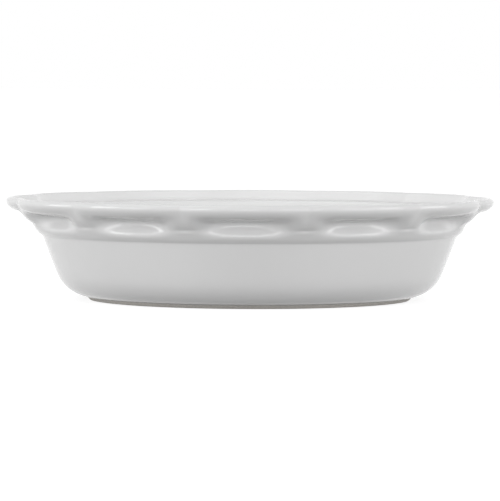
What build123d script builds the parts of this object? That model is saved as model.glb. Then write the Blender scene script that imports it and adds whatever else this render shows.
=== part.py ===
from build123d import *
from math import asin, cos, degrees, hypot, radians, sin, sqrt
import os

os.makedirs("parts", exist_ok=True)

# Pie dish of glazed stoneware with a petalled rim, in millimetres.
# The origin is the centre of the foot, on the table, and +Z points up.
# Radii and heights are those of the finished dish, measured over its glaze.

# Whole dish
rim_diameter = 267.0
dish_height = 55.5
glaze_thickness = 0.5

# Foot ring, turned on the base and left bare
foot_radius = 87.2
foot_width = 4.2
foot_slope = 1.6
foot_edge = 0.6
base_recess = 1.8

# Bowl: base, heel, wall and the skirt that flares out under the rim
base_radius = 88.2
heel_radius = 101.0
heel_height = 4.05
heel_round = 20.0
neck_radius = 113.0
neck_height = 35.3
neck_round = 0.8
skirt_step = 2.6
skirt_step_rise = 1.0
skirt_round = 5.0
skirt_radius = 121.5
skirt_height = 42.6
floor_height = 8.0
wall_thickness = 5.9
floor_round = 14.0
shelf_height = 50.0
shelf_round = 2.5

# Rim, seen from above: convex petals that meet in small hollow creases
petal_count = 12
petal_radius = 62.5
crease_radius = 6.0

# Rim, in section, measured inwards from its widest line
lip_width = 5.5
lip_round = 2.5
lip_side_height = 50.0
lip_side_round = 8.0
belly_inset = 5.6
belly_height = 41.6
belly_round = 4.0
rim_root_inset = 13.5
rim_root_height = 40.5
scoop_inset = 7.5
scoop_round = 4.0

# Coves, hollowed into the underside of the rim behind the middle of each petal
cove_depth = 18.0
cove_floor_height = 38.6
cove_back_height = 45.0
cove_top_height = 50.6
cove_floor_round = 2.5
cove_roof_round = 5.0
cove_half_turn = 11.0

rim_radius = rim_diameter / 2


def inset(chain, depth):
    """Corners (distance, height, fillet radius) of an open chain, moved depth to its left."""
    steps = [(b[0] - a[0], b[1] - a[1]) for a, b in zip(chain, chain[1:])]
    normals = [(-dz / hypot(dx, dz), dx / hypot(dx, dz)) for dx, dz in steps]
    before = [normals[0]] + normals
    after = normals + [normals[-1]]
    moved = []
    for (x, z, radius), (ax, az), (bx, bz) in zip(chain, before, after):
        reach = depth / (1 + ax * bx + az * bz)
        turn = ax * bz - az * bx
        if radius:
            radius += -depth if turn > 0 else depth
        moved.append((x + reach * (ax + bx), z + reach * (az + bz), radius))
    return moved


def bowl_chain(coat):
    """Half section of the bowl, from the axis under the base to the axis on the floor."""
    wall_rise = neck_height - heel_height
    wall_run = neck_radius - heel_radius
    wall_lean = wall_run / wall_rise
    inner_floor_radius = heel_radius + wall_lean * (floor_height - heel_height) - wall_thickness
    shelf_radius = inner_floor_radius + wall_lean * (shelf_height - floor_height)
    chain = [
        (0, base_recess, 0),
        (base_radius, base_recess, 0),
        (heel_radius, heel_height, heel_round),
        (neck_radius, neck_height, neck_round),
        (neck_radius + skirt_step, neck_height + skirt_step_rise, skirt_round),
        (skirt_radius, skirt_height, 0),
        (skirt_radius, shelf_height, 0),
        (shelf_radius, shelf_height, shelf_round),
        (inner_floor_radius, floor_height, floor_round),
        (0, floor_height, 0),
    ]
    return inset(chain, coat)


def rim_chain(coat):
    """Section of the rim, from its root under the petals, over the lip, to its root inside."""
    chain = [
        (-rim_root_inset, rim_root_height, 0),
        (-belly_inset, belly_height, belly_round),
        (0, lip_side_height, lip_side_round),
        (0, dish_height, lip_round),
        (-lip_width, dish_height, lip_round),
        (-scoop_inset, shelf_height, scoop_round),
        (-rim_root_inset, shelf_height, 0),
    ]
    return inset(chain, coat)


def cove_chain(coat):
    """Section of a cove, from its mouth along the floor and up the back to the roof's edge."""
    chain = [
        (0, cove_floor_height, 0),
        (-cove_depth, cove_floor_height, cove_floor_round),
        (-cove_depth, cove_back_height, cove_roof_round),
        (0, cove_top_height, 0),
    ]
    return inset(chain, coat)


# Each petal is turned about its own upright axis, and each crease about one outside the rim
petal_axis = rim_radius - petal_radius
half_pitch = radians(180 / petal_count)
axes_apart = petal_radius + crease_radius
crease_axis = petal_axis * cos(half_pitch) + sqrt(axes_apart**2 - (petal_axis * sin(half_pitch)) ** 2)
petal_half_turn = degrees(asin(crease_axis * sin(half_pitch) / axes_apart))
crease_half_turn = petal_half_turn - degrees(half_pitch)


def section(chain, plane, start=0, way=1):
    """Closed face of a chain on a plane, with its distances counted one way from the start."""
    corners = [(start + way * distance, height) for distance, height, _ in chain]
    rounds = [radius for _, _, radius in chain[1:-1]]
    with BuildSketch(plane) as face:
        with BuildLine():
            outline = FilletPolyline(*corners, radius=rounds)
            Line(outline @ 1, outline @ 0)
        make_face()
    return face.sketch


def upright(x, y, azimuth):
    """Upright plane through a point, whose own X runs outwards along the azimuth."""
    along = (cos(radians(azimuth)), sin(radians(azimuth)), 0)
    across = (along[1], -along[0], 0)
    return Plane(origin=(x, y, 0), x_dir=along, z_dir=across)


def dish(coat):
    """The whole dish without its foot, coat deep under the finished surface."""
    crease_x = crease_axis * cos(half_pitch)
    crease_y = crease_axis * sin(half_pitch)
    with BuildPart() as petal:
        add(section(rim_chain(coat), upright(petal_axis, 0, -petal_half_turn), petal_radius))
        revolve(axis=Axis((petal_axis, 0, 0), (0, 0, 1)), revolution_arc=2 * petal_half_turn)
    with BuildPart() as crease:
        add(section(rim_chain(coat), upright(crease_x, crease_y, 180 + petal_half_turn), crease_radius, -1))
        revolve(axis=Axis((crease_x, crease_y, 0), (0, 0, -1)), revolution_arc=2 * crease_half_turn)
    end_x = petal_axis + petal_radius * cos(radians(cove_half_turn))
    end_y = petal_radius * sin(radians(cove_half_turn))
    with BuildPart() as cove_middle:
        add(section(cove_chain(coat), upright(petal_axis, 0, -cove_half_turn), petal_radius))
        revolve(axis=Axis((petal_axis, 0, 0), (0, 0, 1)), revolution_arc=2 * cove_half_turn)
    with BuildPart() as cove_end:
        add(section(cove_chain(coat), upright(end_x, end_y, 0)))
        revolve(axis=Axis((end_x, end_y, 0), (0, 0, 1)))
    with BuildPart() as cove:
        add(cove_middle.part)
        add(cove_end.part)
        mirror(cove_end.part, about=Plane.XZ)
    with BuildPart() as form:
        add(section(bowl_chain(coat), Plane.XZ))
        revolve(axis=Axis.Z)
        with PolarLocations(0, petal_count):
            add(petal.part)
            add(crease.part)
        with PolarLocations(0, petal_count):
            add(cove.part, mode=Mode.SUBTRACT)
    return form.part


# Fired clay body, with the bare foot ring that it stands on
with BuildPart() as stoneware_body:
    add(dish(glaze_thickness))
    foot_inner_radius = foot_radius - foot_width
    foot_top = base_recess + 2 * glaze_thickness
    with BuildSketch(Plane.XZ):
        with BuildLine():
            Polyline(
                (foot_inner_radius, 0),
                (foot_radius, 0),
                (foot_radius + foot_slope, base_recess),
                (foot_radius + foot_slope, foot_top),
                (foot_inner_radius - foot_edge, foot_top),
                (foot_inner_radius - foot_edge, base_recess),
                close=True,
            )
        make_face()
    revolve(axis=Axis.Z)
stoneware_body.part.label = "stoneware_body"
export_step(stoneware_body.part, "parts/stoneware_body.step")

# Crest of the lip, where the poured inside glaze meets the sprayed outside glaze
with BuildLine(Plane.XY.offset(shelf_height)) as crest:
    for number in range(petal_count):
        petal_azimuth = number * 360 / petal_count
        crease_azimuth = petal_azimuth + degrees(half_pitch)
        CenterArc(
            Vector(petal_axis, 0).rotate(Axis.Z, petal_azimuth),
            petal_radius - lip_width / 2,
            petal_azimuth - petal_half_turn,
            2 * petal_half_turn,
        )
        CenterArc(
            Vector(crease_axis, 0).rotate(Axis.Z, crease_azimuth),
            crease_radius + lip_width / 2,
            crease_azimuth + 180 + crease_half_turn,
            -2 * crease_half_turn,
        )
crest_fence = Shell.extrude(crest.wires()[0], (0, 0, dish_height))

# Glaze: a thin coat over all the clay but the foot, parted along the crest
with BuildPart() as coat:
    add(dish(0))
    add(stoneware_body.part, mode=Mode.SUBTRACT)
disc, shell = coat.solids().sort_by(SortBy.VOLUME)
with BuildPart() as parted_shell:
    add(shell)
    split(bisect_by=crest_fence, keep=Keep.BOTH)
under_lip, outside_wall, inside = parted_shell.solids().sort_by(SortBy.VOLUME)

# Glaze on the recessed base, inside the foot
with BuildPart() as underside_glaze:
    add(disc)
underside_glaze.part.label = "underside_glaze"
export_step(underside_glaze.part, "parts/underside_glaze.step")

# Glaze on the floor, the inner wall and the inside of the rim
with BuildPart() as inside_glaze:
    add(inside)
inside_glaze.part.label = "inside_glaze"
export_step(inside_glaze.part, "parts/inside_glaze.step")

# Glaze on the heel, the outer wall, the skirt and the outside of the rim
with BuildPart() as outside_glaze:
    add(outside_wall)
    add(under_lip)
outside_glaze.part.label = "outside_glaze"
export_step(outside_glaze.part, "parts/outside_glaze.step")
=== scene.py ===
from math import atan2, cos, radians, sin, sqrt

import bmesh
import bpy
from mathutils import Matrix, Vector


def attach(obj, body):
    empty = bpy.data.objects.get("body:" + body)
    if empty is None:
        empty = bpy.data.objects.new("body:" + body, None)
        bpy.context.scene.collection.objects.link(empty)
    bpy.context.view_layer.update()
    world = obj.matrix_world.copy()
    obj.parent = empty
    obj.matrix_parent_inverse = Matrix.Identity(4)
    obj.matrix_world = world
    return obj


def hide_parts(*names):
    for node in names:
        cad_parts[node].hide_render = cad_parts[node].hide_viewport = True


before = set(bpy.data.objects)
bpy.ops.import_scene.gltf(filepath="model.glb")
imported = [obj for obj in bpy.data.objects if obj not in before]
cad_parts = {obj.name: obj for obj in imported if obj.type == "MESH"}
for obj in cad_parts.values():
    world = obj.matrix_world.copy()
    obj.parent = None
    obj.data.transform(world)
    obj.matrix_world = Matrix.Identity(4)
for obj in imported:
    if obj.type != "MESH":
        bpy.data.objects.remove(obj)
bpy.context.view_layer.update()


# Clay body: the whole dish in fired stoneware, pressed in one mould with its petalled rim.
# Glaze covers all of it but the foot ring, which is wiped bare before firing so that it
# doesn't stick to the kiln shelf.

# Sizes of the section are in millimetres, and moulded() turns them into metres
mm = 0.001
coat_depth = 0.5

# The rim's outline: petals turned about axes inside the dish, and creases about axes
# outside it
petal_count = 12
petal_turn = 360 / petal_count
petal_axis = 71.0
petal_radius = 62.5
crease_axis = 134.57
crease_radius = 6.0
crease_half_turn = 15.56

# A cove under the rim is whole up to the first share of half a petal's width, and has run
# out at the second
cove_whole_share = 0.40
cove_end_share = 0.90

# The lip's crest, and how far it is set in from the rim's outline
crest_height = 55.5
crest_inset = 2.75

# The neck, where the wall ends and the rim begins
neck_radius = 113.0
neck_height = 35.2

# The heel's round outside, and the floor's round inside
heel_axis = 86.4
heel_axis_height = 21.79
heel_round = 20.0
heel_turns = (10, 22, 34, 46, 58, 69)
floor_height = 8.0
floor_flat_radius = 87.0
floor_round = 14.0
floor_turns = (69, 52, 35, 18, 0)

# The foot ring, and the glazed recess inside it
foot_inner_radius = 83.0
foot_outer_radius = 87.2
foot_edge = 0.3
glaze_stop_radius = 88.2
glaze_stop_height = 1.8
recess_flat_radius = 82.0
recess_height = 1.8
recess_clay_height = recess_height + coat_depth

# Rings that keep the flat middles even
outer_flat_ring = 60.0
inner_flat_ring = 30.0
pole_ring = 6.0

# Columns of the mesh, as shares of half a petal's width: close together at the creases
column_shares = (-1, -0.945, -0.78, -0.42, 0, 0.42, 0.78, 0.945)
join_distance = 1e-6
smooth_angle = 60


def rim_radius_at(turn, inset):
    """Radius of the rim, moved in by inset, at a turn in degrees from a petal's middle."""
    from_crease = radians(petal_turn / 2 - abs(turn))
    hollow = crease_radius + inset
    hollow_end = atan2(
        hollow * sin(radians(crease_half_turn)),
        crease_axis - hollow * cos(radians(crease_half_turn)),
    )
    if from_crease < hollow_end:
        across = crease_axis * sin(from_crease)
        return crease_axis * cos(from_crease) - sqrt(hollow**2 - across**2)
    across = petal_axis * sin(radians(turn))
    return petal_axis * cos(radians(turn)) + sqrt((petal_radius - inset) ** 2 - across**2)


def at_radius(radius, height):
    """A plain round ring."""
    return lambda turn: (radius, height)


def at_rim(inset, height):
    """A ring that follows the petals, moved in from the rim."""
    return lambda turn: (rim_radius_at(turn, inset), height)


def flat(height, radii):
    """Rings across a flat stretch of the section."""
    return [at_radius(radius, height) for radius in radii]


def rounded(centre_radius, centre_height, arc_radius, turns):
    """Rings along a round stretch of the section, at turns in degrees from straight down."""
    return [
        at_radius(
            centre_radius + arc_radius * sin(radians(turn)),
            centre_height - arc_radius * cos(radians(turn)),
        )
        for turn in turns
    ]


def coved(rib, cove):
    """A ring that is the rib's at a crease and the cove's behind the middle of a petal."""

    def place(turn):
        share = abs(turn) / (petal_turn / 2)
        rise = (cove_end_share - share) / (cove_end_share - cove_whole_share)
        rise = min(max(rise, 0), 1)
        rise = rise * rise * (3 - 2 * rise)
        (rib_radius, rib_height), (cove_radius, cove_height) = rib(turn), cove(turn)
        return (
            rib_radius + rise * (cove_radius - rib_radius),
            rib_height + rise * (cove_height - rib_height),
        )

    return place


# The outside from the foot up: heel, wall and neck, then the underside of the rim, which is
# a rib at each crease and a cove behind each petal, and last the lip up to its crest. A ring
# is given by its radius, or by its inset from the rim, and by its height.
heel_rings = [at_radius(glaze_stop_radius, glaze_stop_height)]
heel_rings += rounded(heel_axis, heel_axis_height, heel_round, heel_turns)
wall_rings = [
    at_radius(107.6, 21.2),
    at_radius(110.2, 28.0),
    at_radius(112.4, 33.8),
    at_radius(neck_radius, neck_height),
    at_radius(113.9, 35.7),
    at_radius(115.1, 36.6),
]
under_rim_rings = [
    coved(at_radius(116.3, 37.8), at_radius(116.1, 37.5)),
    coved(at_radius(117.5, 39.2), at_radius(117.0, 38.9)),
    coved(at_radius(119.0, 40.8), at_radius(116.6, 40.3)),
    coved(at_rim(9.6, 42.1), at_radius(115.3, 41.9)),
    coved(at_rim(8.0, 42.9), at_radius(114.4, 43.8)),
    coved(at_rim(6.2, 44.1), at_radius(114.3, 45.6)),
    coved(at_rim(4.6, 45.7), at_radius(115.8, 46.8)),
    coved(at_rim(3.3, 47.4), at_rim(12.5, 47.3)),
    coved(at_rim(2.1, 49.1), at_rim(7.0, 47.9)),
    coved(at_rim(1.1, 50.6), at_rim(3.0, 49.2)),
    coved(at_rim(0.35, 52.0), at_rim(0.9, 51.2)),
]
lip_side_rings = [
    at_rim(0.0, 53.2),
    at_rim(0.75, 54.8),
    at_rim(2.0, 55.4),
    at_rim(2.5, 55.49),
    at_rim(crest_inset, crest_height),
]
outside_rings = heel_rings + wall_rings + under_rim_rings + lip_side_rings

# The inside from the crest down: lip, scooped rim, inner wall and floor
scoop_rings = [
    at_rim(crest_inset, crest_height),
    at_rim(3.0, 55.49),
    at_rim(3.5, 55.4),
    at_rim(4.75, 54.8),
    at_rim(5.7, 53.2),
    at_rim(7.0, 51.2),
    at_rim(8.6, 50.2),
    at_rim(10.5, 50.0),
    at_radius(115.6, 50.0),
    at_radius(114.2, 49.95),
]
inner_wall_rings = [
    at_radius(113.0, 49.3),
    at_radius(112.0, 47.6),
    at_radius(109.5, 41.5),
    at_radius(105.5, 31.1),
]
floor_rings = rounded(floor_flat_radius, floor_height + floor_round, floor_round, floor_turns)
floor_rings += flat(floor_height, (outer_flat_ring, inner_flat_ring, pole_ring, 0))
inside_rings = scoop_rings + inner_wall_rings + floor_rings

# The recessed base, and the foot ring round it up to just under the glaze
foot_rings = flat(recess_clay_height, (0, pole_ring, outer_flat_ring, recess_flat_radius))
foot_rings += [
    at_radius(82.35, 2.25),
    at_radius(82.4, 1.9),
    at_radius(foot_inner_radius, 0.15),
    at_radius(foot_inner_radius + foot_edge, 0),
    at_radius(foot_outer_radius - foot_edge, 0),
    at_radius(foot_outer_radius, 0.1),
    at_radius(88.7, 1.75),
    at_radius(88.8, 2.0),
    at_radius(88.9, 2.45),
]


def section_at(turn, rings, depth):
    """The section's points at one column, set depth under the finished surface."""
    line = [Vector(ring(turn)) for ring in rings]
    before = line[:1] + line[:-1]
    after = line[1:] + line[-1:]
    points = []
    for last, here, following in zip(before, line, after):
        along = (following - last).normalized()
        points.append(here + depth * Vector((-along.y, along.x)))
    return points


def moulded(name, stretches):
    """A skin round the dish: a grid bent round the axis, with a row for each ring."""
    ring_count = sum(len(rings) for rings, depth in stretches)
    column_count = petal_count * len(column_shares)
    bpy.ops.object.select_all(action="DESELECT")
    bpy.ops.mesh.primitive_grid_add(
        x_subdivisions=column_count, y_subdivisions=ring_count - 1, size=2, location=(0, 0, 0)
    )
    piece = bpy.context.object
    piece.name = name
    sections = []
    for share in column_shares:
        points = []
        for rings, depth in stretches:
            points += section_at(share * petal_turn / 2, rings, depth)
        sections.append(points)
    bpy.ops.object.mode_set(mode="EDIT")
    mesh = bmesh.from_edit_mesh(piece.data)
    for vertex in mesh.verts:
        column = round((vertex.co.x + 1) / 2 * column_count)
        row = round((vertex.co.y + 1) / 2 * (ring_count - 1))
        petal, place = divmod(column % column_count, len(column_shares))
        azimuth = radians((petal + column_shares[place] / 2) * petal_turn)
        radius, height = sections[place][row]
        vertex.co = Vector((radius * cos(azimuth), radius * sin(azimuth), height)) * mm
    bmesh.update_edit_mesh(piece.data)
    bpy.ops.mesh.select_all(action="SELECT")
    bpy.ops.mesh.remove_doubles(threshold=join_distance)
    bpy.ops.object.mode_set(mode="OBJECT")
    return piece


def rounded_off(piece, levels):
    """Takes the corners of the grid away."""
    smooth = piece.modifiers.new("smooth", "SUBSURF")
    smooth.levels = smooth.render_levels = levels
    bpy.ops.object.modifier_apply(modifier=smooth.name)


def finished(piece, node, material):
    """Soft shading, the piece's finish, and the CAD node that it stands for."""
    bpy.ops.object.shade_smooth_by_angle(angle=radians(smooth_angle))
    piece.data.materials.append(material)
    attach(piece, "root")
    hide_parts(node)


def shader_material(name):
    """A node material, and its Principled shader."""
    material = bpy.data.materials.new(name)
    material.use_nodes = True
    return material, material.node_tree.nodes["Principled BSDF"]


# Bare clay: a fine speckle of two tones, with a tooth that follows it
clay_light = (0.74, 0.71, 0.67, 1)
clay_dark = (0.60, 0.575, 0.54, 1)
clay_dark_to = 0.3
clay_light_from = 0.7
clay_grain_size = 0.0008
clay_grain_detail = 4
clay_grain_coarseness = 0.65
clay_tooth_strength = 0.35
clay_tooth_depth = 0.0002
clay_roughness = 0.88

clay, clay_shader = shader_material("bare stoneware")
clay_nodes, clay_links = clay.node_tree.nodes, clay.node_tree.links
clay_place = clay_nodes.new("ShaderNodeTexCoord")
grain = clay_nodes.new("ShaderNodeTexNoise")
grain.inputs["Scale"].default_value = 1 / clay_grain_size
grain.inputs["Detail"].default_value = clay_grain_detail
grain.inputs["Roughness"].default_value = clay_grain_coarseness
tone = clay_nodes.new("ShaderNodeValToRGB")
dark_end, light_end = tone.color_ramp.elements
dark_end.position = clay_dark_to
dark_end.color = clay_dark
light_end.position = clay_light_from
light_end.color = clay_light
tooth = clay_nodes.new("ShaderNodeBump")
tooth.inputs["Strength"].default_value = clay_tooth_strength
tooth.inputs["Distance"].default_value = clay_tooth_depth
clay_links.new(clay_place.outputs["Object"], grain.inputs["Vector"])
clay_links.new(grain.outputs["Fac"], tone.inputs["Fac"])
clay_links.new(tone.outputs["Color"], clay_shader.inputs["Base Color"])
clay_links.new(grain.outputs["Fac"], tooth.inputs["Height"])
clay_links.new(tooth.outputs["Normal"], clay_shader.inputs["Normal"])
clay_shader.inputs["Roughness"].default_value = clay_roughness

body_levels = 1
body = moulded("clay_body", [(foot_rings, 0), (outside_rings[1:-1] + inside_rings, coat_depth)])
rounded_off(body, body_levels)
finished(body, "stoneware_body", clay)


# Underside glaze: a thin disc of glaze on the recessed base, inside the foot ring. It is
# the same white glaze as on the walls, and never touches the table.

# How a fired glaze varies: pools per metre, ripples per metre, and the ripple's height
pool_scale = 22
pool_detail = 2
ripple_scale = 140
ripple_detail = 1
ripple_height = 0.0003
dull_from = 0.35
dull_to = 0.75
glaze_refraction = 1.52


def build_glaze_flow():
    """Node group: how a fired white glaze varies in thickness, tone and smoothness."""
    group = bpy.data.node_groups.new("glaze flow", "ShaderNodeTree")
    for direction, name, kind in (
        ("INPUT", "Vector", "NodeSocketVector"),
        ("INPUT", "Thick Color", "NodeSocketColor"),
        ("INPUT", "Thin Color", "NodeSocketColor"),
        ("INPUT", "Ripple Strength", "NodeSocketFloat"),
        ("INPUT", "Low Roughness", "NodeSocketFloat"),
        ("INPUT", "High Roughness", "NodeSocketFloat"),
        ("OUTPUT", "Color", "NodeSocketColor"),
        ("OUTPUT", "Roughness", "NodeSocketFloat"),
        ("OUTPUT", "Normal", "NodeSocketVector"),
    ):
        group.interface.new_socket(name, in_out=direction, socket_type=kind)
    nodes, links = group.nodes, group.links
    given = nodes.new("NodeGroupInput")
    result = nodes.new("NodeGroupOutput")

    # Slow change of thickness, which shows as a faint change of tone. A Mix node in colour
    # mode has its two colours at inputs 6 and 7, and its result at output 2.
    pool = nodes.new("ShaderNodeTexNoise")
    pool.inputs["Scale"].default_value = pool_scale
    pool.inputs["Detail"].default_value = pool_detail
    tint = nodes.new("ShaderNodeMix")
    tint.data_type = "RGBA"
    links.new(given.outputs["Vector"], pool.inputs["Vector"])
    links.new(pool.outputs["Fac"], tint.inputs["Factor"])
    links.new(given.outputs["Thick Color"], tint.inputs[6])
    links.new(given.outputs["Thin Color"], tint.inputs[7])

    # Fine ripple of a glaze that melted smooth, and the few duller places in it
    ripple = nodes.new("ShaderNodeTexNoise")
    ripple.inputs["Scale"].default_value = ripple_scale
    ripple.inputs["Detail"].default_value = ripple_detail
    wave = nodes.new("ShaderNodeBump")
    wave.inputs["Distance"].default_value = ripple_height
    dulling = nodes.new("ShaderNodeMapRange")
    dulling.inputs["From Min"].default_value = dull_from
    dulling.inputs["From Max"].default_value = dull_to
    links.new(given.outputs["Vector"], ripple.inputs["Vector"])
    links.new(ripple.outputs["Fac"], wave.inputs["Height"])
    links.new(given.outputs["Ripple Strength"], wave.inputs["Strength"])
    links.new(pool.outputs["Fac"], dulling.inputs["Value"])
    links.new(given.outputs["Low Roughness"], dulling.inputs["To Min"])
    links.new(given.outputs["High Roughness"], dulling.inputs["To Max"])

    links.new(tint.outputs[2], result.inputs["Color"])
    links.new(dulling.outputs["Result"], result.inputs["Roughness"])
    links.new(wave.outputs["Normal"], result.inputs["Normal"])
    return group


glaze_flow = build_glaze_flow()


def glaze_material(name, thick_color, thin_color, ripple_strength, low_roughness, high_roughness):
    """A white gloss glaze with its own tones and its own smoothness."""
    material, shader = shader_material(name)
    nodes, links = material.node_tree.nodes, material.node_tree.links
    place = nodes.new("ShaderNodeTexCoord")
    flow = nodes.new("ShaderNodeGroup")
    flow.node_tree = glaze_flow
    flow.inputs["Thick Color"].default_value = thick_color
    flow.inputs["Thin Color"].default_value = thin_color
    flow.inputs["Ripple Strength"].default_value = ripple_strength
    flow.inputs["Low Roughness"].default_value = low_roughness
    flow.inputs["High Roughness"].default_value = high_roughness
    links.new(place.outputs["Object"], flow.inputs["Vector"])
    links.new(flow.outputs["Color"], shader.inputs["Base Color"])
    links.new(flow.outputs["Roughness"], shader.inputs["Roughness"])
    links.new(flow.outputs["Normal"], shader.inputs["Normal"])
    shader.inputs["IOR"].default_value = glaze_refraction
    return material


outside_white = glaze_material(
    "outside white glaze",
    thick_color=(0.80, 0.80, 0.80, 1),
    thin_color=(0.77, 0.77, 0.77, 1),
    ripple_strength=0.06,
    low_roughness=0.10,
    high_roughness=0.17,
)

# From the middle out along its lower face, round its edge, and back along its upper face
underside_edge = 81.9
underside_rings = flat(recess_height, (0, pole_ring, outer_flat_ring, underside_edge))
underside_rings += [at_radius(82.3, 1.85), at_radius(82.35, 2.25)]
underside_rings += flat(recess_clay_height, (recess_flat_radius, outer_flat_ring, pole_ring, 0))

underside_levels = 1
underside = moulded("glaze_underside", [(underside_rings, 0)])
rounded_off(underside, underside_levels)
finished(underside, "underside_glaze", outside_white)


# Inside glaze: the coat that is poured in and swilled round, over the floor, the wall and
# the scooped inside of the petals, up to the crest of the lip.

# The inside coat is the same glaze as the outside one, but its whites here are lighter. That is
# painted light, so that the inside, which faces the lamps and the room, shows brighter.
inside_white_painted_lighter = glaze_material(
    "inside white glaze",
    thick_color=(0.84, 0.84, 0.84, 1),
    thin_color=(0.81, 0.81, 0.81, 1),
    ripple_strength=0.04,
    low_roughness=0.08,
    high_roughness=0.14,
)


def coated(piece):
    """Gives a skin the coat's thickness, inwards."""
    thick = piece.modifiers.new("thick", "SOLIDIFY")
    thick.thickness = coat_depth * mm
    thick.offset = -1
    bpy.ops.object.modifier_apply(modifier=thick.name)


coat_levels = 2
inside = moulded("glaze_inside", [(inside_rings, 0)])
rounded_off(inside, coat_levels)
coated(inside)
finished(inside, "inside_glaze", inside_white_painted_lighter)


# Outside glaze: the sprayed coat over the heel, the outer wall, the coves and the outside
# of the petals. It stops at the foot ring below and meets the inside coat at the crest.

outside = moulded("glaze_outside", [(outside_rings, 0)])
rounded_off(outside, coat_levels)
coated(outside)
finished(outside, "outside_glaze", outside_white)


# Floor: a plain pale studio floor that runs out of sight. It keeps the dish's shadow, and
# its far part meets the white of the background.

studio_floor_size = 60.0
studio_floor_color = (0.36, 0.36, 0.36, 1)
studio_floor_roughness = 0.9
studio_floor_white = 0.80


def seen_or_mirrored(tree):
    """1 where a ray comes from the camera, a gloss or a glass, and 0 for light on the dish."""
    rays = tree.nodes.new("ShaderNodeLightPath")
    straight = tree.nodes.new("ShaderNodeMath")
    straight.operation = "MAXIMUM"
    either = tree.nodes.new("ShaderNodeMath")
    either.operation = "MAXIMUM"
    tree.links.new(rays.outputs["Is Camera Ray"], straight.inputs[0])
    tree.links.new(rays.outputs["Is Transmission Ray"], straight.inputs[1])
    tree.links.new(straight.outputs["Value"], either.inputs[0])
    tree.links.new(rays.outputs["Is Glossy Ray"], either.inputs[1])
    return either.outputs["Value"]


bpy.ops.object.select_all(action="DESELECT")
bpy.ops.mesh.primitive_plane_add(size=studio_floor_size, location=(0, 0, 0))
studio_floor = bpy.context.object
studio_floor.name = "floor"
floor_material, floor_shader = shader_material("studio floor")
floor_shader.inputs["Base Color"].default_value = studio_floor_color
floor_shader.inputs["Roughness"].default_value = studio_floor_roughness
floor_shader.inputs["Emission Color"].default_value = (1, 1, 1, 1)
floor_tree = floor_material.node_tree
own_white = floor_tree.nodes.new("ShaderNodeMath")
own_white.operation = "MULTIPLY"
own_white.inputs[1].default_value = studio_floor_white
floor_tree.links.new(seen_or_mirrored(floor_tree), own_white.inputs[0])
floor_tree.links.new(own_white.outputs["Value"], floor_shader.inputs["Emission Strength"])
studio_floor.data.materials.append(floor_material)


# Light: an even white room with broad soft lamps. The strongest stand at the two sides, so
# that each cove is bright on the side that faces them and shaded on the other.

room_light = 0.40
background_white = 1.0
dish_middle = Vector((0, 0, 0.04))
wide_lamp = 1.2
narrow_lamp = 1.0

world = bpy.data.worlds.new("white room")
bpy.context.scene.world = world
world.use_nodes = True
world_tree = world.node_tree
room = world_tree.nodes["Background"]
room.inputs["Color"].default_value = (1, 1, 1, 1)
brightness = world_tree.nodes.new("ShaderNodeMapRange")
brightness.inputs["To Min"].default_value = room_light
brightness.inputs["To Max"].default_value = background_white
world_tree.links.new(seen_or_mirrored(world_tree), brightness.inputs["Value"])
world_tree.links.new(brightness.outputs["Result"], room.inputs["Strength"])


def soft_lamp(name, place, width, power):
    """A square soft lamp at a place, turned to the dish."""
    data = bpy.data.lights.new(name, "AREA")
    data.shape = "SQUARE"
    data.size = width
    data.energy = power
    lamp = bpy.data.objects.new(name, data)
    bpy.context.scene.collection.objects.link(lamp)
    lamp.location = place
    lamp.rotation_euler = (dish_middle - lamp.location).to_track_quat("-Z", "Y").to_euler()


soft_lamp("left lamp", place=(-2.2, -0.5, 0.7), width=wide_lamp, power=17.0)
soft_lamp("right lamp", place=(2.2, -0.5, 0.7), width=wide_lamp, power=15.0)
soft_lamp("front left lamp", place=(-1.5, -1.6, 0.5), width=narrow_lamp, power=8.5)
soft_lamp("front right lamp", place=(1.5, -1.6, 0.5), width=narrow_lamp, power=8.5)
soft_lamp("front lamp", place=(0, -2.8, 0.2), width=wide_lamp, power=15.0)
soft_lamp("high lamp", place=(-0.6, 0.4, 1.7), width=wide_lamp, power=2.5)


# Camera: in front of one petal and just above the rim, far enough for a flat view. Its lens
# is worked out from how many metres a pixel covers at the middle of the dish.

image_width = 500
metres_per_pixel = 0.000546
camera_distance = 2.0
camera_height = 0.1215
aim_height = 0.0265
aim_side = 0.0002
camera_turn = 1.2
camera_roll = 0.2
sensor_width = 36.0
nearest_seen = 0.05
farthest_seen = 200.0

camera_data = bpy.data.cameras.new("camera")
camera = bpy.data.objects.new("camera", camera_data)
bpy.context.scene.collection.objects.link(camera)
bpy.context.scene.camera = camera
aim = Vector((aim_side, 0, aim_height))
seat = Vector((aim_side, -camera_distance, camera_height))
look = (aim - seat).to_track_quat("-Z", "Y").to_matrix().to_4x4()
round_the_dish = Matrix.Rotation(radians(camera_turn), 4, "Z")
about_the_lens = Matrix.Rotation(radians(camera_roll), 4, "Z")
camera.matrix_world = round_the_dish @ Matrix.Translation(seat) @ look @ about_the_lens
camera_data.sensor_width = sensor_width
camera_data.lens = sensor_width * (aim - seat).length / (image_width * metres_per_pixel)
camera_data.clip_start = nearest_seen
camera_data.clip_end = farthest_seen

bpy.context.scene.view_settings.view_transform = "Standard"
